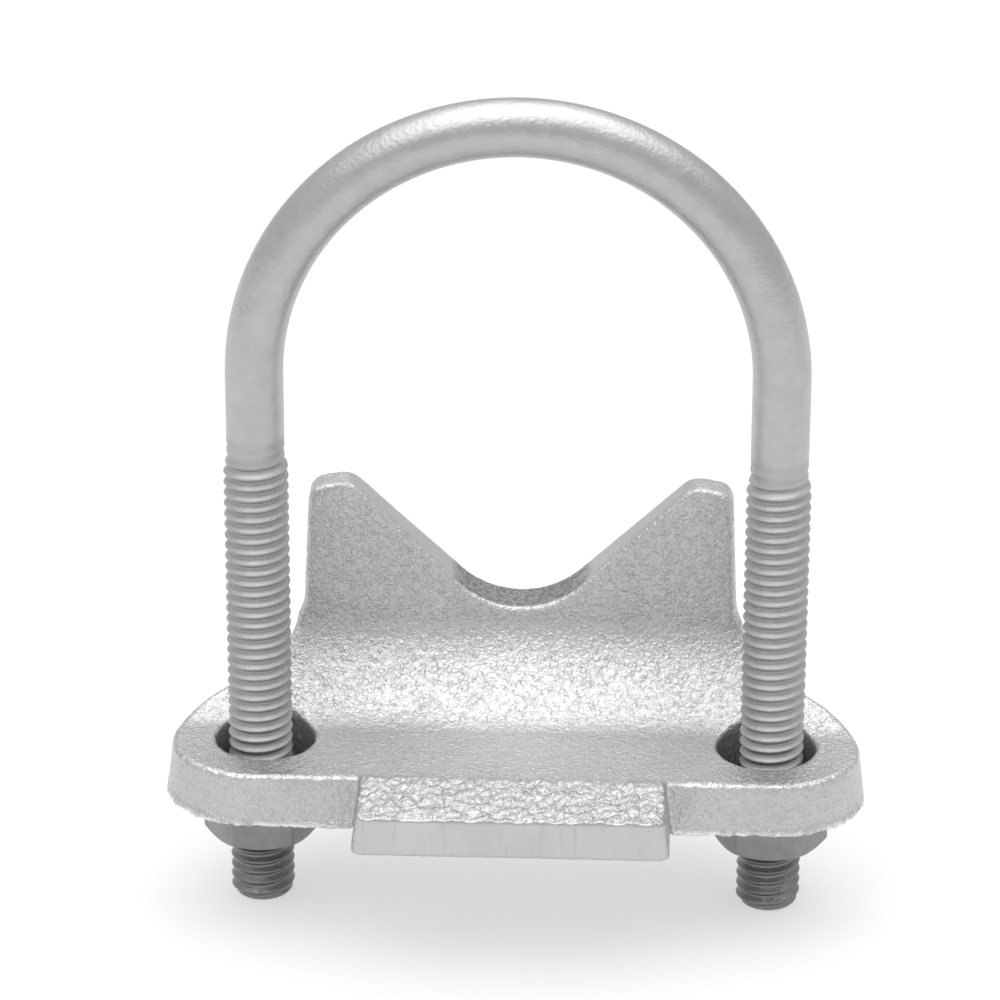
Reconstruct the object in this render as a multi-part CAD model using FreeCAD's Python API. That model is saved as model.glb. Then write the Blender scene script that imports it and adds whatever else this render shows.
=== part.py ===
import FreeCAD, Part
import math
import os

# Right angle conduit support: a cast base that hooks over a beam flange and
# a U-bolt that draws the conduit down onto the flange and into the base's V.
# Millimetres. X runs across the two legs, Y from the toe back to the web, Z up.
# The origin is on the flange seat, midway between the legs of the U-bolt.

# Conduit and beam flange
conduit_diameter = 48.3
conduit_play = 4.0
conduit_to_crown = 11.3
throat_height = 16.8

# U-bolt, from 5/16-18 thread rolled on a thinner rod
rod_diameter = 7.05
thread_diameter = 7.94
thread_length_left = 59.3
thread_length_right = 57.7
thread_runout = 1.4
thread_end_chamfer = 0.7
leg_beyond_nut = 8.55

# Hex nuts
nut_across_flats = 12.7
nut_height = 6.75
nut_chamfer_angle = 30.0
nut_flat_to_face_circle = 0.15
nut_thread_clearance = 0.05
nut_bore_chamfer = 0.6
nut_turn_left = -5.2
nut_turn_right = 5.4

# Plate and its two rounded ears
plate_thickness = 6.6
plate_front = 12.8
ear_front_radius = 11.5
ear_end_beyond_bolt = 11.6
ear_back_angle = 34.4
ear_back_behind_web_face = 2.4
ear_root_radius = 4.5
ear_draft_angle = 7.0
hole_play_below = 3.4
hole_play_above = 4.2
hole_centre_inboard = 0.7
hole_centre_forward = 1.0
hole_rim_radius = 0.6
plate_edge_radius = 0.9
rim_edge_radius = 0.7

# Web with the V saddle
saddle_angle = 92.0
saddle_radius = 10.6
web_inboard_of_bolt = 5.2
web_side_draft_angle = 2.4
web_face_draft_angle = 3.5
web_top_thickness = 4.5
peak_width = 5.2
peak_fall = 1.0
peak_outer_radius = 2.2
peak_inner_radius = 3.0
heel_radius = 5.0

# Hollow rise from the seat to the web
rise_start = 1.0
rise_depth = 11.9
rise_height = 9.8
rise_foot_reach = 4.5
rise_middle_depth = 8.6
rise_middle_height = 3.9
rise_top_reach = 2.5
flare_above_rise = 2.7
flare_radius = 4.0

# Toe
toe_half_width = 19.4
toe_length = 7.2
toe_ridge_height = 0.5
toe_ridge_behind_front = 0.6
toe_front_height = 5.2
toe_side_draft_angle = 7.0
toe_corner_radius = 1.3
toe_edge_radius = 0.5

# Edges that meet at less than this angle count as smooth
smooth_angle = 20.0

# Heights and half widths that follow from them
underside = -plate_thickness
bolt_half_spacing = (conduit_diameter + rod_diameter) / 2 + conduit_play
conduit_axis_height = throat_height + conduit_diameter / 2
crown_height = throat_height + conduit_diameter + conduit_to_crown + rod_diameter / 2
bend_centre_height = crown_height - bolt_half_spacing
leg_below_seat = plate_thickness + nut_height + leg_beyond_nut
ear_half_length = bolt_half_spacing + ear_end_beyond_bolt
hole_x = bolt_half_spacing - hole_centre_inboard
hole_diameter_below = thread_diameter + hole_play_below
hole_diameter_above = thread_diameter + hole_play_above
flank_angle = 90.0 - saddle_angle / 2
saddle_apex = conduit_axis_height - conduit_diameter / 2 / math.sin(math.radians(saddle_angle / 2))
web_half_top = bolt_half_spacing - web_inboard_of_bolt
peak_x = web_half_top - peak_width
peak_height = saddle_apex + peak_x * math.tan(math.radians(flank_angle))
web_front = rise_start + rise_depth
ear_back_at_web = web_front + ear_back_behind_web_face
flare_top = rise_height + flare_above_rise
toe_reach = plate_front + toe_length
toe_ridge_forward = plate_front - toe_ridge_behind_front
margin = 5.0


def slope(angle):
    return math.tan(math.radians(angle))


def on_front(u, v):
    """A point of the front view: across, up."""
    return FreeCAD.Vector(u, 0, v)


def on_side(u, v):
    """A point of the side view: back, up."""
    return FreeCAD.Vector(0, u, v)


def on_plan(height):
    """Points of the plan at one height: across, back."""
    return lambda u, v: FreeCAD.Vector(u, v, height)


def rounded_wire(corners, place):
    """Closed wire through corners (u, v, radius), rounded by tangent arcs."""
    arcs = []
    for index, (u, v, radius) in enumerate(corners):
        corner = FreeCAD.Vector(u, v, 0)
        before = FreeCAD.Vector(*corners[index - 1][:2], 0) - corner
        after = FreeCAD.Vector(*corners[(index + 1) % len(corners)][:2], 0) - corner
        before.normalize()
        after.normalize()
        half_angle = before.getAngle(after) / 2
        setback = radius / math.tan(half_angle)
        inward = before + after
        inward.normalize()
        middle = corner + inward * (radius / math.sin(half_angle) - radius)
        arcs.append((corner + before * setback, middle, corner + after * setback))
    edges = []
    for index, (start, middle, end) in enumerate(arcs):
        following = arcs[(index + 1) % len(arcs)][0]
        if start.distanceToPoint(end) > 1e-6:
            ends = [place(point.x, point.y) for point in (start, middle, end)]
            edges.append(Part.Arc(*ends).toShape())
        if end.distanceToPoint(following) > 1e-6:
            edges.append(Part.makeLine(place(end.x, end.y), place(following.x, following.y)))
    return Part.Wire(edges)


def mirrored(half):
    """Corners of a symmetric outline from its left half, listed from the middle outwards."""
    return half + [(-u, v, radius) for u, v, radius in reversed(half)]


def web_half_at(height):
    return web_half_top + (peak_height - height) * slope(web_side_draft_angle)


def web_front_at(height):
    return web_front + (height - rise_height) * slope(web_face_draft_angle)


def web_back_at(height):
    back_at_top = web_front_at(peak_height) + web_top_thickness
    return back_at_top + (peak_height - height) * slope(web_face_draft_angle)


def plan_wire(height):
    """Outline of the base seen from above: two drafted ears that fall back to the web."""
    inset = (height - underside) * slope(ear_draft_angle)
    web_half = web_half_at(height)
    half_length = ear_half_length - inset
    front = inset - plate_front
    front_radius = ear_front_radius - inset

    def ear_back(x):
        square_inset = inset / math.cos(math.radians(ear_back_angle))
        return ear_back_at_web - (x - web_half_at(underside)) * slope(ear_back_angle) - square_inset

    back_corner = ear_back(half_length)
    back_radius = (back_corner - front - front_radius) * slope((90 + ear_back_angle) / 2)
    corners = mirrored([
        (-web_half, web_back_at(height), 0),
        (-web_half, ear_back(web_half), ear_root_radius + inset),
        (-half_length, back_corner, back_radius),
        (-half_length, front, front_radius),
    ])
    return rounded_wire(corners, on_plan(height))


def side_face():
    """Section of the base through its middle, without the toe."""
    front = plate_front + margin
    top = peak_height + margin
    rise_end = FreeCAD.Vector(0, web_front, rise_height)
    poles = [
        on_side(rise_start, 0),
        on_side(rise_start + rise_foot_reach, 0),
        on_side(rise_start + rise_middle_depth, rise_middle_height),
        on_side(web_front_at(rise_height - rise_top_reach), rise_height - rise_top_reach),
        rise_end,
    ]
    rise = Part.BezierCurve()
    rise.setPoles(poles)
    heel = on_side(web_back_at(underside), underside)
    up_the_back = on_side(web_back_at(top), top) - heel
    up_the_back.normalize()
    heel_half_angle = up_the_back.getAngle(FreeCAD.Vector(0, -1, 0)) / 2
    setback = heel_radius / math.tan(heel_half_angle)
    inward = up_the_back + FreeCAD.Vector(0, -1, 0)
    inward.normalize()
    heel_low = heel + FreeCAD.Vector(0, -setback, 0)
    heel_middle = heel + inward * (heel_radius / math.sin(heel_half_angle) - heel_radius)
    heel_high = heel + up_the_back * setback
    edges = [
        Part.makeLine(on_side(-front, underside), on_side(-front, 0)),
        Part.makeLine(on_side(-front, 0), poles[0]),
        rise.toShape(),
        Part.makeLine(rise_end, on_side(web_front_at(top), top)),
        Part.makeLine(on_side(web_front_at(top), top), on_side(web_back_at(top), top)),
        Part.makeLine(on_side(web_back_at(top), top), heel_high),
        Part.Arc(heel_high, heel_middle, heel_low).toShape(),
        Part.makeLine(heel_low, on_side(-front, underside)),
    ]
    return Part.Face(Part.Wire(edges))


def front_face():
    """Outline of the base seen from the front: the V, the two peaks and the flare to the ears."""
    outside = ear_half_length + margin
    below = underside - margin
    corners = mirrored([
        (-peak_x, peak_height, peak_inner_radius),
        (-web_half_top, peak_height - peak_fall, peak_outer_radius),
        (-web_half_at(flare_top - flare_radius), flare_top - flare_radius, flare_radius),
        (-outside, flare_top - flare_radius, 0),
        (-outside, below, 0),
    ])
    corners.append((0, saddle_apex, saddle_radius))
    return Part.Face(rounded_wire(corners, on_front))


def sharp_edges(shape):
    """Edges whose two faces meet at more than the smooth angle."""
    found = []
    for edge in shape.Edges:
        faces = shape.ancestorsOfType(edge, Part.Face)
        if len(faces) != 2:
            continue
        middle = edge.valueAt((edge.FirstParameter + edge.LastParameter) / 2)
        normals = [face.normalAt(*face.Surface.parameter(middle)) for face in faces]
        if math.degrees(normals[0].getAngle(normals[1])) > smooth_angle:
            found.append(edge)
    return found


def is_behind_or_below(edge):
    """True for the edges round the underside and round the back of the web."""
    box = edge.BoundBox
    low = box.ZMax < underside + plate_thickness / 2
    behind = box.YMin > web_back_at(peak_height) - web_top_thickness / 4
    return low or behind


def base_blank():
    """Plate and web as the three views cut them, with their edges rounded."""
    top = peak_height + margin
    width = 2 * (ear_half_length + margin)
    depth = 2 * (web_back_at(underside) + margin)
    plan = Part.makeLoft([plan_wire(underside), plan_wire(top)], True, True)
    side = side_face().extrude(FreeCAD.Vector(width, 0, 0))
    side.translate(FreeCAD.Vector(-width / 2, 0, 0))
    front = front_face().extrude(FreeCAD.Vector(0, depth, 0))
    front.translate(FreeCAD.Vector(0, -depth / 2, 0))
    blank = plan.common(side).common(front).removeSplitter()
    rim = [edge for edge in sharp_edges(blank) if not is_behind_or_below(edge)]
    blank = blank.makeFillet(rim_edge_radius, rim)
    return blank.makeFillet(plate_edge_radius, sharp_edges(blank))


def toe():
    """Toe in front of the plate, with its gripping face sloped down to the front."""
    def outline(height):
        half = toe_half_width - (height - underside) * slope(toe_side_draft_angle)
        corners = mirrored([
            (-half, -plate_front / 2, 0),
            (-half, -toe_reach, toe_corner_radius),
        ])
        return rounded_wire(corners, on_plan(height))

    def side():
        inner = -toe_ridge_forward + plate_edge_radius + toe_ridge_height
        corners = [
            (inner, underside, 0),
            (-toe_reach, underside, 0),
            (-toe_reach, underside + toe_front_height, 0),
            (-toe_ridge_forward, toe_ridge_height, 0),
            (inner, -toe_ridge_height, 0),
        ]
        return Part.Face(rounded_wire(corners, on_side))

    block = Part.makeLoft([outline(underside), outline(toe_ridge_height)], True, True)
    section = side().extrude(FreeCAD.Vector(2 * toe_half_width, 0, 0))
    section.translate(FreeCAD.Vector(-toe_half_width, 0, 0))
    block = block.common(section)
    front_edges = [edge for edge in sharp_edges(block) if edge.BoundBox.YMax < -plate_front]
    return block.makeFillet(toe_edge_radius, front_edges)


def hole(x):
    """Cored hole for a leg, wider at the top."""
    taper = (hole_diameter_above - hole_diameter_below) / 2 / plate_thickness
    low = underside - margin
    high = rise_height + margin
    radius_low = hole_diameter_below / 2 - margin * taper
    radius_high = hole_diameter_above / 2 + high * taper
    place = FreeCAD.Vector(x, -hole_centre_forward, low)
    return Part.makeCone(radius_low, radius_high, high - low, place)


def is_hole_rim(edge):
    """True for the edges round the upper mouths of the two leg holes."""
    reach = hole_diameter_above / 2 + hole_rim_radius
    box = edge.BoundBox
    if box.ZMin < underside + plate_thickness / 2:
        return False
    for side in (-1, 1):
        x = side * hole_x
        within_x = box.XMin > x - reach and box.XMax < x + reach
        within_y = box.YMin > -hole_centre_forward - reach and box.YMax < reach - hole_centre_forward
        if within_x and within_y:
            return True
    return False


def base_casting():
    base = base_blank().fuse(toe()).removeSplitter()
    for side in (-1, 1):
        base = base.cut(hole(side * hole_x))
    rims = [edge for edge in sharp_edges(base) if is_hole_rim(edge)]
    return base.makeFillet(hole_rim_radius, rims)


def u_bolt():
    """Round rod bent over a half circle, threaded along both legs."""
    rod = rod_diameter / 2
    start = FreeCAD.Vector(bolt_half_spacing, 0, bend_centre_height)
    section = Part.Face(Part.Wire(Part.makeCircle(rod, start, FreeCAD.Vector(0, 0, 1))))
    bend_centre = FreeCAD.Vector(0, 0, bend_centre_height)
    bolt = section.revolve(bend_centre, FreeCAD.Vector(0, -1, 0), 180)
    for side, length in ((-1, thread_length_left), (1, thread_length_right)):
        bolt = bolt.fuse(leg(side * bolt_half_spacing, length))
    return bolt.removeSplitter()


def leg(x, thread_length):
    """One leg turned about its axis: chamfered end, thread, runout and plain rod."""
    end = -leg_below_seat
    thread = thread_diameter / 2
    rod = rod_diameter / 2
    outline = [
        (0, end),
        (thread - thread_end_chamfer, end),
        (thread, end + thread_end_chamfer),
        (thread, end + thread_length - thread_runout),
        (rod, end + thread_length),
        (rod, bend_centre_height),
        (0, bend_centre_height),
        (0, end),
    ]
    points = [FreeCAD.Vector(x + radius, 0, height) for radius, height in outline]
    face = Part.Face(Part.makePolygon(points))
    return face.revolve(FreeCAD.Vector(x, 0, 0), FreeCAD.Vector(0, 0, 1), 360)


def nut(x, turn):
    """Hex nut under the plate, its corners cut back to a round face at both ends."""
    base = underside - nut_height
    corner = nut_across_flats / 2 / math.cos(math.radians(30))
    points = []
    for step in range(7):
        angle = math.radians(60 * step + turn)
        points.append(FreeCAD.Vector(x + corner * math.cos(angle), corner * math.sin(angle), base))
    prism = Part.Face(Part.makePolygon(points)).extrude(FreeCAD.Vector(0, 0, nut_height))
    face_circle = nut_across_flats / 2 - nut_flat_to_face_circle
    chamfer_height = (corner - face_circle) * slope(nut_chamfer_angle)
    bore = thread_diameter / 2 + nut_thread_clearance
    outline = [
        (bore + nut_bore_chamfer, 0),
        (face_circle, 0),
        (corner, chamfer_height),
        (corner, nut_height - chamfer_height),
        (face_circle, nut_height),
        (bore + nut_bore_chamfer, nut_height),
        (bore, nut_height - nut_bore_chamfer),
        (bore, nut_bore_chamfer),
        (bore + nut_bore_chamfer, 0),
    ]
    points = [FreeCAD.Vector(x + radius, 0, base + height) for radius, height in outline]
    ring = Part.Face(Part.makePolygon(points))
    turned = ring.revolve(FreeCAD.Vector(x, 0, 0), FreeCAD.Vector(0, 0, 1), 360)
    return prism.common(turned)


def main():
    os.makedirs("parts", exist_ok=True)
    pieces = {
        "base_casting": base_casting(),
        "u_bolt": u_bolt(),
        "nut_left": nut(-bolt_half_spacing, nut_turn_left),
        "nut_right": nut(bolt_half_spacing, nut_turn_right),
    }
    for name, shape in pieces.items():
        print(name, shape.isValid(), len(shape.Solids), round(shape.Volume, 1))
        shape.exportStep("parts/" + name + ".step")


main()
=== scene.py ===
"""Finish of a right angle conduit support: cast base, U-bolt and nuts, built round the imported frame."""

import math

import bmesh
import bpy
from mathutils import Matrix, Vector, noise


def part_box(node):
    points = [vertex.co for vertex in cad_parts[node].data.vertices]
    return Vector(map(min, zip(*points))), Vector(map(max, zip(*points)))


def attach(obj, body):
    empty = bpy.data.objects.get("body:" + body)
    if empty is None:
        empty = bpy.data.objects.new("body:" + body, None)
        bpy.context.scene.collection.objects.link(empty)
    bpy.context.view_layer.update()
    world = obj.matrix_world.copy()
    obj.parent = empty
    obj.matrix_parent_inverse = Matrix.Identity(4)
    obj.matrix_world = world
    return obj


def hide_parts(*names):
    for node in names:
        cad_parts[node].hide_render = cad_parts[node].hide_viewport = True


bl_info = {
    "name": "Right Angle Conduit Support",
    "version": (1, 0, 0),
    "blender": (4, 5, 0),
    "location": "View3D > Sidebar > Conduit Support",
    "description": "Cast zinc skin, rolled threads and hex nuts for a right angle conduit support",
    "category": "Add Mesh",
}

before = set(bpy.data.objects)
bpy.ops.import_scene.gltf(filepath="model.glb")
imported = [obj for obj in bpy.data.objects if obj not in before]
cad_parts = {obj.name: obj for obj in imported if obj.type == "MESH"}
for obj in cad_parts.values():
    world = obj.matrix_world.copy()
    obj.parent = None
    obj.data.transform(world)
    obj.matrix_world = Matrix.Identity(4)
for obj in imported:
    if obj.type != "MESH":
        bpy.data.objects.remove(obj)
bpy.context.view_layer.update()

MM = 0.001
NEAR = 1e-6


def linear(hex_colour):
    """An sRGB hex value as the linear red, green and blue that Blender works in."""
    channels = [int(hex_colour[i : i + 2], 16) / 255 for i in (1, 3, 5)]
    return tuple(c / 12.92 if c <= 0.04045 else ((c + 0.055) / 1.055) ** 2.4 for c in channels)


def length(name, description, millimetres):
    """A size in the panel, given in millimetres."""
    return bpy.props.FloatProperty(
        name=name, description=description, default=millimetres * MM, precision=5, unit="LENGTH"
    )


def colour(name, description, hex_colour):
    """A colour in the panel, given as an sRGB hex value."""
    return bpy.props.FloatVectorProperty(
        name=name,
        description=description,
        default=linear(hex_colour),
        size=3,
        min=0,
        max=1,
        subtype="COLOR",
    )


class SupportSizes(bpy.types.PropertyGroup):
    rod_diameter: length("Rod", "Diameter of the plain rod", 7.05)
    crest_diameter: length("Thread crest", "Outside diameter of the thread", 7.93)
    root_diameter: length("Thread root", "Diameter at the bottom of the thread, zinc in it", 6.6)
    pitch: length("Thread pitch", "Rise of the thread in one turn, 18 to the inch", 1.4111)
    thread_left: length("Left thread", "Length of thread on the left leg", 59.3)
    thread_right: length("Right thread", "Length of thread on the right leg", 57.7)
    runout: length("Runout", "Length over which the thread fades into the rod", 1.4)
    groove_fade: length("Groove fade", "Plain rod over which the last grooves grow shallow", 2.8)
    end_chamfer: length("End chamfer", "Chamfer at the end of each leg", 0.7)
    nut_across_flats: length("Nut flats", "Width of the nuts across their flats", 12.7)
    nut_corner_round: length("Nut corner", "Rounding of the nuts' upright corners", 0.3)
    nut_edge_round: length("Nut edge", "Rounding of the nuts' other edges", 0.12)
    nut_face_inset: length("Nut face", "Width of the chamfer at the middle of each flat", 0.15)
    nut_countersink: length("Countersink", "Depth of the countersinks in the nuts", 0.6)
    nut_play: length("Nut play", "Play between nut thread and bolt thread, on the radius", 0.05)
    skin_cell: length("Skin cell", "Size of the mesh cells of the cast skin", 0.33)


class SupportColours(bpy.types.PropertyGroup):
    cast_zinc: colour("Cast zinc", "Zinc over the cast skin", "#CBCBCD")
    rod_zinc: colour("Rod zinc", "Zinc on the plain rod", "#BEBEC0")
    # Zinc colour of the nuts, set darker as painted shade under the plate
    nut_zinc_shaded: colour("Nut zinc", "Zinc on the nuts", "#8F8F91")
    # Painted shade: the colour that darkens the thread roots
    root_shade: colour("Root grey", "Dull zinc down in the thread roots", "#B2B2B4")
    # Painted highlight: a near-white line along the lower edge of the ears
    edge_highlight_white: colour("Bead", "Thick bright zinc along the lower edge of the ears", "#F6F6F7")
    dip_dull: colour("Dip", "Dull zinc at the bottom of the saddle", "#7E7E7C")
    # Painted shade: the thread below the nuts is set darker for the shade near the floor
    shaded_end: colour("Dull end", "Thread below the nuts", "#8B8B8C")
    floor: colour("Floor", "Pale studio floor", "#A8A8A8")


def clamp(value):
    """The value kept between 0 and 1."""
    return min(max(value, 0.0), 1.0)


def only(piece):
    """Makes piece the one selected and active object."""
    bpy.ops.object.select_all(action="DESELECT")
    piece.select_set(True)
    bpy.context.view_layer.objects.active = piece


def apply(piece, modifier):
    only(piece)
    bpy.ops.object.modifier_apply(modifier=modifier.name)


def select_all_corners(piece):
    """Opens piece in edit mode with everything selected."""
    only(piece)
    bpy.ops.object.mode_set(mode="EDIT")
    bpy.ops.mesh.select_all(action="SELECT")


def join_corners(piece):
    """Merges the corners that share a place and turns the faces outwards."""
    select_all_corners(piece)
    bpy.ops.mesh.remove_doubles(threshold=NEAR)
    bpy.ops.mesh.normals_make_consistent(inside=False)
    bpy.ops.object.mode_set(mode="OBJECT")


def shift(piece, offset):
    """Moves the mesh of piece, while its object stays at the origin."""
    select_all_corners(piece)
    bpy.ops.transform.translate(value=offset)
    bpy.ops.object.mode_set(mode="OBJECT")


def cut(piece, height, keep, fill):
    """Cuts piece at a height, keeps the side "above" or "below", and closes it if asked."""
    select_all_corners(piece)
    bpy.ops.mesh.bisect(
        plane_co=(0, 0, height),
        plane_no=(0, 0, 1),
        use_fill=fill,
        clear_inner=keep == "above",
        clear_outer=keep == "below",
        threshold=NEAR / 10,
    )
    bpy.ops.object.mode_set(mode="OBJECT")


def drawn_line(name, points):
    """A chain of edges through points, drawn by extruding one corner."""
    bpy.ops.object.select_all(action="DESELECT")
    bpy.ops.mesh.primitive_plane_add(size=MM, location=(0, 0, 0))
    piece = bpy.context.object
    piece.name = name
    bpy.ops.object.mode_set(mode="EDIT")
    bpy.ops.mesh.select_mode(type="VERT")
    bpy.ops.mesh.select_all(action="SELECT")
    bpy.ops.mesh.merge(type="CENTER")
    bpy.ops.transform.translate(value=points[0])
    for before, after in zip(points, points[1:]):
        step = Vector(after) - Vector(before)
        bpy.ops.mesh.extrude_region_move(TRANSFORM_OT_translate={"value": step})
    bpy.ops.object.mode_set(mode="OBJECT")
    return piece


LEG_REACH = 5 * MM  # a little more than the radius of a leg
THREAD_SIDES = 48
THREAD_PHASE = 0.35  # turns that the helix starts below the end of the leg


def thread_profile(sizes, grow):
    """One pitch of a rolled 60 degree thread, from root to root, as (radius, height)."""
    root = sizes.root_diameter / 2 + grow
    crest = sizes.crest_diameter / 2 + grow
    depth = crest - root
    # Shares of half a pitch and of the depth: a soft root, a straight flank and a soft crest.
    half = [(0.0, 0.0), (0.17, 0.05), (0.33, 0.17), (0.74, 0.82), (0.87, 0.94), (1.0, 1.0)]
    rising = [(root + depth * up, sizes.pitch / 2 * along) for along, up in half]
    falling = [(radius, sizes.pitch - height) for radius, height in reversed(rising[:-1])]
    return rising + falling


def threaded_rod(name, sizes, x, first_turn, turns, grow=0.0):
    """A bare helix of thread round the leg at x. Turns are counted up from the end of the leg."""
    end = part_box("u_bolt")[0].z
    start = end + (first_turn - THREAD_PHASE) * sizes.pitch
    profile = [(radius, 0, start + height) for radius, height in thread_profile(sizes, grow)]
    rod = drawn_line(name, profile)
    screw = rod.modifiers.new("Thread", "SCREW")
    screw.axis = "Z"
    screw.angle = math.tau
    screw.screw_offset = sizes.pitch
    screw.steps = THREAD_SIDES
    screw.render_steps = THREAD_SIDES
    screw.iterations = turns
    apply(rod, screw)
    join_corners(rod)
    shift(rod, (x, 0, 0))
    return rod


def turn_down(piece, x, least, most):
    """Brings each corner to a radius between least(height) and most(height) about the leg at x."""
    for vertex in piece.data.vertices:
        radius = math.hypot(vertex.co.x - x, vertex.co.y)
        wanted = min(max(radius, least(vertex.co.z)), most(vertex.co.z))
        vertex.co.x = x + (vertex.co.x - x) * wanted / radius
        vertex.co.y *= wanted / radius


def leg(name, sizes, x, thread_length):
    """One threaded leg, chamfered below and open at the top where the plain rod starts."""
    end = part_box("u_bolt")[0].z
    crest = sizes.crest_diameter / 2
    root = sizes.root_diameter / 2
    rod = sizes.rod_diameter / 2
    top = end + thread_length
    rim = top + sizes.groove_fade + sizes.pitch / 4
    turns = math.ceil((rim - end) / sizes.pitch) + 2
    piece = threaded_rod(name, sizes, x, -1, turns)

    def most(z):
        chamfered = crest - sizes.end_chamfer + (z - end)
        faded = rod + (crest - rod) * (top - z) / sizes.runout
        return max(min(crest, chamfered, max(faded, rod)), crest - 2 * sizes.end_chamfer)

    def least(z):
        filled = (z - (top - sizes.runout)) / (sizes.runout + sizes.groove_fade)
        return root + (rod - root) * clamp(filled)

    turn_down(piece, x, least, most)
    cut(piece, end, "above", True)
    cut(piece, rim, "below", False)
    return piece


def open_rim(mesh, x, height):
    """The open loop of edges round the leg at x, at a height."""
    rim = []
    for edge in mesh.edges:
        middle = (edge.verts[0].co + edge.verts[1].co) / 2
        near = abs(middle.z - height) < 10 * NEAR and abs(middle.x - x) < LEG_REACH
        if near and edge.is_boundary:
            rim.append(edge)
    return rim


def select_edges(piece, choose):
    """In edit mode, selects the edges that choose(bmesh) returns and nothing else."""
    bpy.ops.mesh.select_mode(type="EDGE")
    bpy.ops.mesh.select_all(action="DESELECT")
    mesh = bmesh.from_edit_mesh(piece.data)
    for edge in choose(mesh):
        edge.select = True
    mesh.select_flush_mode()
    bmesh.update_edit_mesh(piece.data)


def finish_piece(piece, replaced, material):
    """Gives a made piece its material, body and slot, and hides the node that it stands for."""
    piece.data.materials.clear()
    piece.data.materials.append(material)
    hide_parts(replaced)
    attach(piece, "root")


def add(tree, kind, settings=None, inputs=None):
    """Adds a shader node with its settings, then its values or links by socket name or number."""
    node = tree.nodes.new(kind)
    for name, value in (settings or {}).items():
        setattr(node, name, value)
    for socket, value in (inputs or {}).items():
        if isinstance(value, bpy.types.NodeSocket):
            tree.links.new(value, node.inputs[socket])
        else:
            node.inputs[socket].default_value = value
    return node


def new_material(name):
    """A material, its tree and its shader, which is set for zinc: a metal under a thin dull film."""
    material = bpy.data.materials.new(name)
    material.use_nodes = True
    tree = material.node_tree
    tree.nodes.clear()
    output = add(tree, "ShaderNodeOutputMaterial")
    surface = add(tree, "ShaderNodeBsdfPrincipled", inputs={"Metallic": 0.85})
    tree.links.new(surface.outputs[0], output.inputs["Surface"])
    return material, tree, surface


def grain(tree, place, size, detail=3.0, roughness=0.55):
    """Noise whose spots measure about size metres across."""
    return add(
        tree,
        "ShaderNodeTexNoise",
        {"noise_dimensions": "3D"},
        {"Vector": place, "Scale": 0.5 / size, "Detail": detail, "Roughness": roughness},
    ).outputs["Fac"]


def mix(tree, share, first, second):
    """Mixes two colours. Share is how much of the second there is."""
    return add(
        tree,
        "ShaderNodeMix",
        {"data_type": "RGBA"},
        {"Factor": share, 6: first, 7: second},
    ).outputs[2]


def span(tree, value, start, end, low, high, interpolation="LINEAR"):
    """Maps value from start and end to low and high, and never past them."""
    return add(
        tree,
        "ShaderNodeMapRange",
        {"interpolation_type": interpolation},
        {"Value": value, "From Min": start, "From Max": end, "To Min": low, "To Max": high},
    ).outputs[0]


def times(tree, first, second, plus=0.0):
    """First times second, plus a third value."""
    return add(
        tree,
        "ShaderNodeMath",
        {"operation": "MULTIPLY_ADD"},
        {0: first, 1: second, 2: plus},
    ).outputs[0]


def emboss(tree, surface, height, strength, distance):
    """Bends the surface's normal as a relief of that height would."""
    bump = add(
        tree,
        "ShaderNodeBump",
        inputs={"Height": height, "Strength": strength, "Distance": distance},
    )
    tree.links.new(bump.outputs[0], surface.inputs["Normal"])


def shade(colour, share):
    """A colour made lighter or darker by a share, with an opaque alpha."""
    return (*(min(channel * share, 1) for channel in colour), 1)


def read_zones(tree):
    """The four channels that paint_zones stored on the mesh."""
    zones = add(tree, "ShaderNodeAttribute", {"attribute_name": "zones"})
    split = add(tree, "ShaderNodeSeparateColor", inputs={"Color": zones.outputs["Color"]})
    return split.outputs[0], split.outputs[1], split.outputs[2], zones.outputs["Alpha"]


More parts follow.
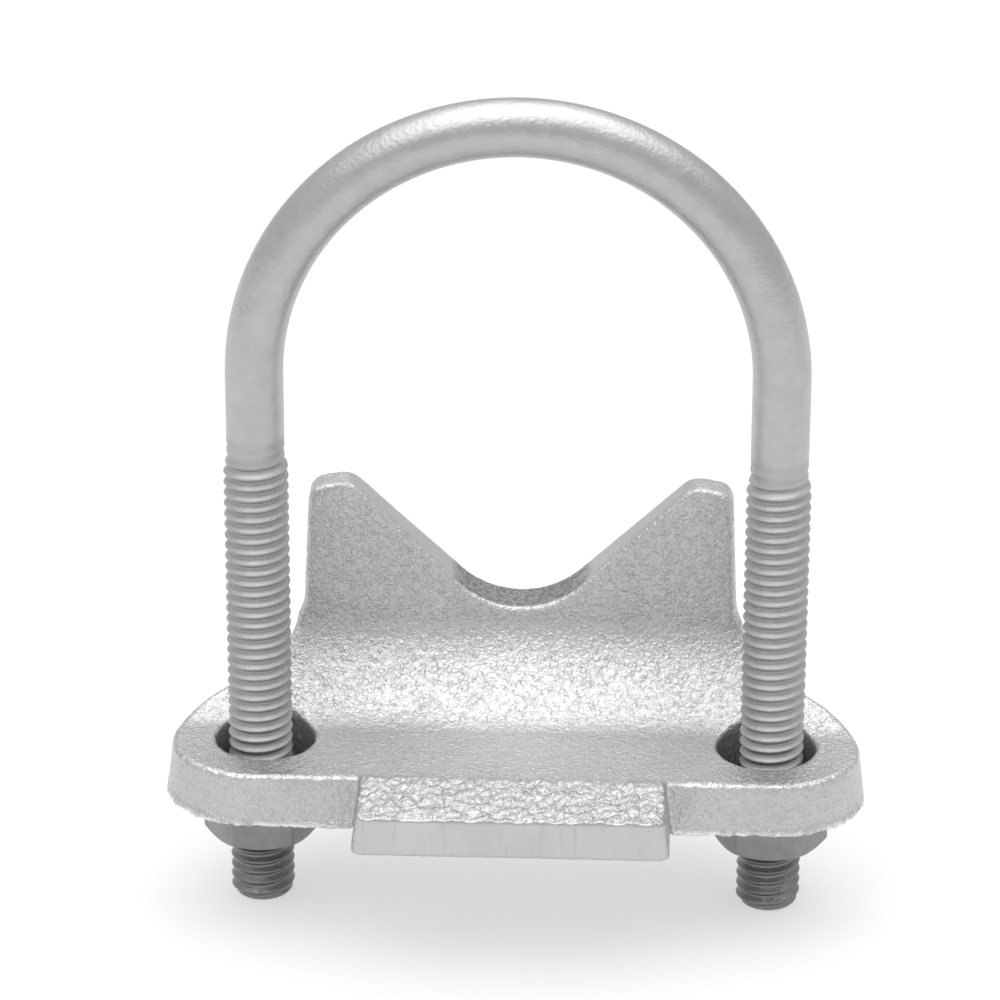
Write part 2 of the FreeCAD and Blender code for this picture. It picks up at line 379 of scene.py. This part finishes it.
def galvanised_cast_skin(colours):
    """Hot-dip galvanised malleable iron, sand cast: matt pebbled zinc, smoother where it was ground, with
    a painted highlight along the lower edge of the ears.
    """
    material, tree, surface = new_material("galvanised_cast_skin")
    place = add(tree, "ShaderNodeTexCoord").outputs["Object"]
    pebbled, ground, darkened, edge_highlight = read_zones(tree)

    # Zinc runs and crystals leave clouds about 5 mm across.
    clouds = grain(tree, place, 5 * MM, 4)
    base = mix(tree, clouds, shade(colours.cast_zinc, 0.86), shade(colours.cast_zinc, 1.06))
    flecks = span(tree, grain(tree, place, 0.25 * MM), 0.4, 0.6, 0.5, 1.0)
    base = mix(tree, times(tree, darkened, flecks), base, shade(colours.dip_dull, 1))

    # The grinding left faint upright scratches about 0.3 mm apart.
    drawn_out = add(
        tree,
        "ShaderNodeVectorMath",
        {"operation": "MULTIPLY"},
        {0: place, 1: (1.0, 1.0, 0.1)},
    ).outputs[0]
    scratches = span(tree, grain(tree, drawn_out, 0.3 * MM), 0.55, 0.75, 0.0, 0.18)
    base = mix(tree, times(tree, scratches, ground), base, shade(colours.dip_dull, 1))
    # Painted highlight: a bright line along the lower edge of the ears
    base = mix(tree, edge_highlight, base, shade(colours.edge_highlight_white, 1))
    tree.links.new(base, surface.inputs["Base Color"])
    rough = span(tree, grain(tree, place, 1.5 * MM), 0.0, 1.0, 0.26, 0.42)
    tree.links.new(rough, surface.inputs["Roughness"])

    # Pebbles under 1 mm across with thin sharp valleys, as sand leaves them, and finer grit on top.
    wobble = add(
        tree,
        "ShaderNodeTexNoise",
        inputs={"Vector": place, "Scale": 1 / (0.6 * MM), "Detail": 3.0},
    )
    sway = 1.1 * MM
    swayed = add(
        tree,
        "ShaderNodeVectorMath",
        {"operation": "MULTIPLY_ADD"},
        {0: wobble.outputs["Color"], 1: (sway, sway, sway), 2: place},
    ).outputs[0]
    valley = add(
        tree,
        "ShaderNodeTexVoronoi",
        {"feature": "DISTANCE_TO_EDGE"},
        {"Vector": swayed, "Scale": 1 / (0.7 * MM)},
    ).outputs["Distance"]
    pebble = span(tree, valley, 0.0, 0.22, 0.0, 1.0, "SMOOTHSTEP")
    patches = span(tree, grain(tree, place, 0.4 * MM, 2.0), 0.35, 0.65, 0.1, 0.6)
    fine = grain(tree, place, 0.25 * MM, 2.0, 0.6)
    height = times(tree, times(tree, pebble, patches, fine), times(tree, pebbled, 0.2, 1.05))
    emboss(tree, surface, height, times(tree, ground, -0.85, 1.0), 0.1 * MM)
    return material


def galvanised_rod(colours):
    """Zinc on a smooth drawn rod: faint clouds, painted shade down in the thread roots, and painted shade
    on the thread below the nuts.
    """
    material, tree, surface = new_material("galvanised_rod")
    place = add(tree, "ShaderNodeTexCoord").outputs["Object"]
    crest, darkened, threaded, _ = read_zones(tree)
    clouds = grain(tree, place, 1.2 * MM, 5, 0.65)
    base = mix(tree, clouds, shade(colours.rod_zinc, 0.82), shade(colours.rod_zinc, 1.12))
    # Painted shade: the thread roots are darker than the crests
    base = mix(tree, crest, shade(colours.root_shade, 1), base)
    # Painted shade on the thread below the nuts
    base = mix(tree, darkened, base, shade(colours.shaded_end, 1))
    tree.links.new(base, surface.inputs["Base Color"])

    # Thread rolling leaves the flanks rougher than the rod, and the ends below the nuts, painted darker
    # as shade, are smooth again.
    rough = span(tree, grain(tree, place, 1 * MM), 0.0, 1.0, 0.3, 0.44)
    rough = times(tree, threaded, 0.15, rough)
    rough = times(tree, darkened, -0.22, rough)
    tree.links.new(rough, surface.inputs["Roughness"])
    emboss(tree, surface, grain(tree, place, 0.3 * MM, 3, 0.6), 1.0, 0.08 * MM)
    return material


def plated_nut(colours):
    """Zinc on a cold formed nut: mottled, and painted darker than the rod as shade under the plate."""
    material, tree, surface = new_material("plated_nut")
    place = add(tree, "ShaderNodeTexCoord").outputs["Object"]
    clouds = grain(tree, place, 0.9 * MM, 4, 0.65)
    base = mix(tree, clouds, shade(colours.nut_zinc_shaded, 0.7), shade(colours.nut_zinc_shaded, 1.25))
    tree.links.new(base, surface.inputs["Base Color"])
    surface.inputs["Roughness"].default_value = 0.34
    emboss(tree, surface, grain(tree, place, 0.35 * MM, 3, 0.6), 1.0, 0.07 * MM)
    return material


def paint_zones(piece, zones):
    """Stores four values for each corner of the mesh as its colour, for the materials to read."""
    layer = piece.data.attributes.new("zones", "FLOAT_COLOR", "POINT")
    for corner, zone in zip(layer.data, zones):
        corner.color = zone


# Places on the casting, in the frame of the CAD
GROUND_FACE = 0.6 * MM  # how far behind the toe's foremost point its ground front still lies
SEAT_FRONT = -12.6 * MM  # y of the edge between the toe's slope and the flange seat
SEAT_BACK = 6 * MM  # y where the flange seat starts to rise
WEB_FOOT = 11.5 * MM  # height of the web's foot
PEAKS = 21.5 * MM  # x of the outer edges of the peaks
DIP = 9 * MM  # half the width of the dull dip in the saddle
DIP_FADE = 1.5 * MM  # width of its ragged edge
LIP = 1.0 * MM  # height of the lip along the lower edge of the ears
LIP_SHOULDER = 0.45 * MM  # height over which the lip swells out
TOP_EDGE = -1.1 * MM  # height of the foot of the rounded edge round the seat
SINK = 0.04  # mm that the whole skin lies lower, so that its marks stay near the solid


def cast_zone(vertex, low):
    """How pebbled, ground, darkened and lit by a painted edge highlight the skin is at a corner, each
    from 0 to 1.
    """
    place, normal = vertex.co, vertex.normal
    pebbled = ground = darkened = edge_highlight = 0.0
    if place.y < low.y + GROUND_FACE and normal.y < -0.7:
        ground = 1.0
    if place.y < SEAT_FRONT and normal.z > 0.3:
        pebbled = 1.0
        darkened = 0.22
    elif place.y < SEAT_BACK and normal.z > 0.9:
        darkened = 0.12
    elif place.y > 0 and normal.y < -0.1 and normal.z > 0.05:
        pebbled = 0.6 * clamp((WEB_FOOT - place.z) / (3 * MM))
    on_saddle = place.z > WEB_FOOT and abs(place.x) < PEAKS
    if on_saddle and abs(normal.y) < 0.35 and normal.z > 0.3:
        ragged = DIP_FADE * noise.noise(place / DIP_FADE)
        darkened = clamp((DIP - abs(place.x) + ragged) / DIP_FADE)
        ground = 1.0 - darkened
    # A painted highlight along the lower edge of the ears, ragged with noise
    if place.y > SEAT_FRONT and place.z < low.z + 0.6 * LIP and normal.z > -0.75:
        edge_highlight = clamp(0.75 + 1.5 * noise.noise(place / (0.8 * MM)))
    return (pebbled, ground, darkened, edge_highlight)


def cast_relief(vertex, zone, low):
    """How far the sand's marks stand over the clean solid at a corner."""
    place, normal = vertex.co, vertex.normal
    pebbled, ground, _, _ = zone
    pebble = noise.fractal(place / (0.7 * MM), 0.8, 2.0, 2)
    elsewhere = Vector((7, 3, 1))
    coarse = noise.fractal(place / (0.8 * MM) + elsewhere, 0.7, 2.0, 2)
    swell = noise.noise(place / (7 * MM))

    # Heights in mm, turned to metres at the end.
    height = 0.05 * pebble + 0.05 * swell
    on_front_edge = place.z > TOP_EDGE and place.y < 0
    if place.y < SEAT_FRONT:
        height += 0.32 * pebbled * coarse
    elif place.z < low.z + LIP and normal.z > -0.8:
        lip = min((low.z + LIP - place.z) / LIP_SHOULDER, 1.0)
        height += (0.5 + 0.24 * coarse) * lip - 0.05
    elif on_front_edge and normal.y < -0.3 and normal.z > 0.3:
        height += 0.14 * coarse
    return (height * (1 - 0.9 * ground) - SINK) * MM


class CONDUIT_OT_base_casting(bpy.types.Operator):
    """Gives the cast base its pebbled zinc skin and its ground toe"""

    bl_idname = "conduit.base_casting"
    bl_label = "Cast base"

    def execute(self, context):
        sizes, colours = context.scene.support_sizes, context.scene.support_colours
        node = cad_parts["base_casting"]
        piece = bpy.data.objects.new("base_casting_skin", node.data.copy())
        context.scene.collection.objects.link(piece)
        select_all_corners(piece)
        bpy.ops.mesh.remove_doubles(threshold=NEAR)
        bpy.ops.object.mode_set(mode="OBJECT")
        remesh = piece.modifiers.new("Skin", "REMESH")
        remesh.mode = "VOXEL"
        remesh.voxel_size = sizes.skin_cell
        remesh.use_smooth_shade = True
        apply(piece, remesh)
        low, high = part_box("base_casting")
        vertices = piece.data.vertices
        zones = [cast_zone(vertex, low) for vertex in vertices]
        paint_zones(piece, zones)
        raised = []
        for vertex, zone in zip(vertices, zones):
            raised.append(vertex.co + vertex.normal * cast_relief(vertex, zone, low))
        for vertex, place in zip(vertices, raised):
            inside = [min(max(place[i], low[i]), high[i]) for i in range(3)]
            vertex.co = Vector(inside)
        finish_piece(piece, "base_casting", galvanised_cast_skin(colours))
        return {"FINISHED"}


class CONDUIT_OT_u_bolt(bpy.types.Operator):
    """Makes the U-bolt: two rolled threads joined by a bent rod"""

    bl_idname = "conduit.u_bolt"
    bl_label = "U-bolt"

    def execute(self, context):
        sizes, colours = context.scene.support_sizes, context.scene.support_colours
        low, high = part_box("u_bolt")
        bolt_x = (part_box("nut_right")[0].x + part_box("nut_right")[1].x) / 2
        bend_z = high.z - sizes.rod_diameter / 2 - bolt_x
        left = leg("u_bolt_threaded", sizes, -bolt_x, sizes.thread_left)
        right = leg("right_leg", sizes, bolt_x, sizes.thread_right)
        bpy.ops.object.select_all(action="DESELECT")
        left.select_set(True)
        right.select_set(True)
        bpy.context.view_layer.objects.active = left
        bpy.ops.object.join()
        past_thread = sizes.groove_fade + sizes.pitch / 4
        left_top = low.z + sizes.thread_left + past_thread
        right_top = low.z + sizes.thread_right + past_thread
        bpy.ops.object.mode_set(mode="EDIT")
        select_edges(left, lambda mesh: open_rim(mesh, -bolt_x, left_top))
        bpy.ops.mesh.extrude_region_move(TRANSFORM_OT_translate={"value": (0, 0, bend_z - left_top)})
        bpy.ops.mesh.spin(steps=96, angle=math.pi, center=(0, 0, bend_z), axis=(0, -1, 0))
        rims = (right_top, bend_z)
        select_edges(left, lambda mesh: [edge for z in rims for edge in open_rim(mesh, bolt_x, z)])
        bpy.ops.mesh.bridge_edge_loops()
        bpy.ops.mesh.select_all(action="SELECT")
        bpy.ops.mesh.remove_doubles(threshold=NEAR)
        bpy.ops.mesh.normals_make_consistent(inside=False)
        bpy.ops.object.mode_set(mode="OBJECT")
        bpy.ops.object.shade_smooth_by_angle(angle=math.radians(35))
        root = sizes.root_diameter / 2
        rod = sizes.rod_diameter / 2
        nut_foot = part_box("nut_right")[0].z

        def zone_at(vertex):
            side = math.copysign(1, vertex.co.x)
            radius = math.hypot(vertex.co.x - side * bolt_x, vertex.co.y)
            threaded = sizes.thread_left if side < 0 else sizes.thread_right
            above = vertex.co.z > low.z + threaded + sizes.groove_fade
            # Painted shade: the crest channel darkens the thread roots
            crest = 1.0 if above else clamp((radius - root) / (rod - root))
            # Painted shade: the thread below the nuts is darkened
            darkened = 1.0 if vertex.co.z < nut_foot else 0.0
            return (crest, darkened, 0.0 if above else 1.0, 1.0)

        paint_zones(left, [zone_at(vertex) for vertex in left.data.vertices])
        finish_piece(left, "u_bolt", galvanised_rod(colours))
        return {"FINISHED"}


def turned(name, profile, steps=64):
    """A solid turned about Z from (radius, height) points that start and end on the axis."""
    piece = drawn_line(name, [(radius, 0, height) for radius, height in profile])
    lathe = piece.modifiers.new("Lathe", "SCREW")
    lathe.axis = "Z"
    lathe.angle = math.tau
    lathe.steps = steps
    lathe.render_steps = steps
    lathe.use_merge_vertices = True
    lathe.merge_threshold = NEAR
    apply(piece, lathe)
    join_corners(piece)
    return piece


def combine(piece, tool, operation):
    """Cuts piece with tool, or keeps what they share, and removes the tool."""
    boolean = piece.modifiers.new("Cut", "BOOLEAN")
    boolean.operation = operation
    boolean.solver = "EXACT"
    boolean.object = tool
    apply(piece, boolean)
    bpy.data.objects.remove(tool)


PLUG_FIRST_TURN = 4  # the nut's own thread starts this many turns up the leg
PLUG_TURNS = 10  # more than the nut's height


def upright_edges(mesh):
    """The edges of the mesh that run up and down."""
    return [edge for edge in mesh.edges if abs(edge.verts[0].co.z - edge.verts[1].co.z) > NEAR]


def hex_nut(node, sizes, turn):
    """A chamfered hex nut on its bolt thread, turned by some degrees from the straight."""
    low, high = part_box(node)
    x = (low.x + high.x) / 2
    height = high.z - low.z
    slope = math.radians(30)
    corner = sizes.nut_across_flats / 2 / math.cos(slope)
    face = sizes.nut_across_flats / 2 - sizes.nut_face_inset
    bpy.ops.object.select_all(action="DESELECT")
    bpy.ops.mesh.primitive_cylinder_add(
        vertices=6, radius=corner, depth=height, location=(0, 0, low.z + height / 2)
    )
    nut = bpy.context.object
    nut.name = node + "_hex"
    bpy.ops.object.transform_apply(location=True)
    bpy.ops.object.mode_set(mode="EDIT")
    select_edges(nut, upright_edges)
    bpy.ops.mesh.bevel(offset=sizes.nut_corner_round, segments=3, affect="EDGES")
    bpy.ops.mesh.select_all(action="SELECT")
    bpy.ops.transform.rotate(
        value=math.radians(30 + turn), orient_axis="Z", center_override=(0, 0, 0)
    )
    bpy.ops.object.mode_set(mode="OBJECT")

    # A turned blank rounds the six corners off at both faces.
    chamfer = (corner - face) * math.tan(slope)
    outside = corner + chamfer
    drop = (outside - face) * math.tan(slope)
    blank = turned(
        "nut_blank",
        [
            (0, low.z),
            (face, low.z),
            (outside, low.z + drop),
            (outside, high.z - drop),
            (face, high.z),
            (0, high.z),
        ],
    )
    combine(nut, blank, "INTERSECT")
    rounding = nut.modifiers.new("Rounding", "BEVEL")
    rounding.width = sizes.nut_edge_round
    rounding.segments = 2
    rounding.limit_method = "ANGLE"
    rounding.angle_limit = math.radians(20)
    apply(nut, rounding)

    # The thread ends in a countersink at each face.
    crest = sizes.crest_diameter / 2
    sink = sizes.nut_countersink
    for foot, way in ((low.z, 1), (high.z, -1)):
        cone = turned(
            "countersink",
            [
                (0, foot - way * sink),
                (crest + 2 * sink, foot - way * sink),
                (crest - sink, foot + way * 2 * sink),
                (0, foot + way * 2 * sink),
            ],
        )
        combine(nut, cone, "DIFFERENCE")
    shift(nut, (x, 0, 0))
    plug = threaded_rod("nut_thread", sizes, x, PLUG_FIRST_TURN, PLUG_TURNS, sizes.nut_play)
    cut(plug, low.z - sink, "above", True)
    cut(plug, high.z + sink, "below", True)
    combine(nut, plug, "DIFFERENCE")
    only(nut)
    bpy.ops.object.shade_smooth_by_angle(angle=math.radians(25))
    return nut


class CONDUIT_OT_nuts(bpy.types.Operator):
    """Makes the two hex nuts with chamfered corners and threaded bores"""

    bl_idname = "conduit.nuts"
    bl_label = "Hex nuts"

    def execute(self, context):
        sizes, colours = context.scene.support_sizes, context.scene.support_colours
        material = plated_nut(colours)
        for node, turn in (("nut_left", -5.2), ("nut_right", 5.4)):
            finish_piece(hex_nut(node, sizes, turn), node, material)
        return {"FINISHED"}


# The photo's camera, fitted to the outline of the object
SENSOR = 36.0  # mm
LENS = 173.664  # mm
ELEVATION = math.radians(23.98)
AZIMUTH = math.radians(2.1)
ROLL = math.radians(0.205)
AIM = Vector((-2.06, 0, 32.07)) * MM
DISTANCE = 584.9 * MM

# The studio, in metres and watts
FLOOR_SIZE = 3.0
FLOOR_GAP = 0.2 * MM  # kept under the object, so that they don't touch
FLOOR_LIFT = 0.54  # glow that only the camera, mirrors and glass see, for a white background
SKY_TILT = math.radians(2)  # of the soft box overhead, to the back
SKY_EDGE = (0.65, 0.92)  # cosine from the middle of the soft box to its outer and inner edge
SKY_LEVEL = (0.64, 2.5)  # strength outside and inside it
KEY_PLACE = (-0.35, -0.5, 0.75)
KEY_TARGET = (0, 0, 0.03)
KEY_SIZE = 0.5
KEY_WATTS = 0.8


def place_camera(scene):
    """Adds the camera at the photo's place."""
    data = bpy.data.cameras.new("camera")
    data.sensor_width = SENSOR
    data.lens = LENS
    data.clip_start = 0.01
    camera = bpy.data.objects.new("camera", data)
    scene.collection.objects.link(camera)
    scene.camera = camera
    look = Vector(
        (
            -math.sin(AZIMUTH) * math.cos(ELEVATION),
            math.cos(AZIMUTH) * math.cos(ELEVATION),
            -math.sin(ELEVATION),
        )
    )
    camera.location = AIM - look * DISTANCE
    right = Vector((math.cos(AZIMUTH), math.sin(AZIMUTH), 0))
    up = right.cross(look)
    rolled_right = math.cos(ROLL) * right + math.sin(ROLL) * up
    rolled_up = math.cos(ROLL) * up - math.sin(ROLL) * right
    facing = Matrix((rolled_right, rolled_up, -look)).transposed()
    camera.rotation_euler = facing.to_euler()


def place_key(scene):
    """Adds the one lamp, a square panel high at the left."""
    light = bpy.data.lights.new("key", "AREA")
    light.shape = "SQUARE"
    light.size = KEY_SIZE
    light.energy = KEY_WATTS
    lamp = bpy.data.objects.new("key", light)
    lamp.location = KEY_PLACE
    aim = Vector(KEY_TARGET) - Vector(KEY_PLACE)
    lamp.rotation_euler = aim.to_track_quat("-Z", "Y").to_euler()
    scene.collection.objects.link(lamp)


def studio_floor(colours):
    """Painted studio floor: matt, pale, and lifted to white where the camera sees it unshaded."""
    material = bpy.data.materials.new("studio_floor")
    material.use_nodes = True
    tree = material.node_tree
    tree.nodes.clear()
    output = add(tree, "ShaderNodeOutputMaterial")
    matt = add(tree, "ShaderNodeBsdfDiffuse", inputs={"Color": shade(colours.floor, 1)})
    rays = add(tree, "ShaderNodeLightPath").outputs
    seen = add(
        tree,
        "ShaderNodeMath",
        inputs={0: rays["Is Camera Ray"], 1: rays["Is Glossy Ray"]},
    ).outputs[0]
    seen = add(tree, "ShaderNodeMath", inputs={0: seen, 1: rays["Is Transmission Ray"]}).outputs[0]
    glow = add(
        tree,
        "ShaderNodeEmission",
        inputs={"Color": (1, 1, 1, 1), "Strength": times(tree, seen, FLOOR_LIFT)},
    )
    both = add(tree, "ShaderNodeAddShader", inputs={0: matt.outputs[0], 1: glow.outputs[0]})
    tree.links.new(both.outputs[0], output.inputs["Surface"])
    return material


def light_sky(scene):
    """A grey world with one large soft box overhead."""
    world = scene.world or bpy.data.worlds.new("studio")
    scene.world = world
    world.use_nodes = True
    tree = world.node_tree
    tree.nodes.clear()
    output = add(tree, "ShaderNodeOutputWorld")
    towards = add(tree, "ShaderNodeTexCoord").outputs["Generated"]
    overhead = add(
        tree,
        "ShaderNodeVectorMath",
        {"operation": "DOT_PRODUCT"},
        {0: towards, 1: (0.0, math.sin(SKY_TILT), math.cos(SKY_TILT))},
    ).outputs["Value"]
    level = span(tree, overhead, *SKY_EDGE, *SKY_LEVEL, "SMOOTHSTEP")
    sky = add(tree, "ShaderNodeBackground", inputs={"Color": (1, 1, 1, 1), "Strength": level})
    tree.links.new(sky.outputs[0], output.inputs["Surface"])


class CONDUIT_OT_stage(bpy.types.Operator):
    """Sets the camera, the lamp, the world and the pale floor"""

    bl_idname = "conduit.stage"
    bl_label = "Stage"

    def execute(self, context):
        scene = context.scene
        scene.view_settings.view_transform = "Standard"
        place_camera(scene)
        bpy.ops.object.select_all(action="DESELECT")
        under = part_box("u_bolt")[0].z - FLOOR_GAP
        bpy.ops.mesh.primitive_plane_add(size=FLOOR_SIZE, location=(0, 0, under))
        floor = context.object
        floor.name = "floor"
        floor.data.materials.append(studio_floor(scene.support_colours))
        light_sky(scene)
        place_key(scene)
        return {"FINISHED"}


class CONDUIT_PT_support(bpy.types.Panel):
    bl_label = "Conduit Support"
    bl_idname = "CONDUIT_PT_support"
    bl_space_type = "VIEW_3D"
    bl_region_type = "UI"
    bl_category = "Conduit Support"

    def draw(self, context):
        for operator in OPERATORS:
            self.layout.operator(operator.bl_idname)
        for group in (context.scene.support_sizes, context.scene.support_colours):
            box = self.layout.box()
            for name in group.__annotations__:
                box.prop(group, name)


OPERATORS = (CONDUIT_OT_base_casting, CONDUIT_OT_u_bolt, CONDUIT_OT_nuts, CONDUIT_OT_stage)
CLASSES = (SupportSizes, SupportColours, *OPERATORS, CONDUIT_PT_support)


def register():
    for kind in CLASSES:
        bpy.utils.register_class(kind)
    bpy.types.Scene.support_sizes = bpy.props.PointerProperty(type=SupportSizes)
    bpy.types.Scene.support_colours = bpy.props.PointerProperty(type=SupportColours)


def unregister():
    del bpy.types.Scene.support_colours
    del bpy.types.Scene.support_sizes
    for kind in reversed(CLASSES):
        bpy.utils.unregister_class(kind)


def main():
    register()
    bpy.ops.object.select_all(action="DESELECT")
    bpy.ops.conduit.base_casting()
    bpy.ops.conduit.u_bolt()
    bpy.ops.conduit.nuts()
    bpy.ops.conduit.stage()


if __name__ == "__main__":
    main()
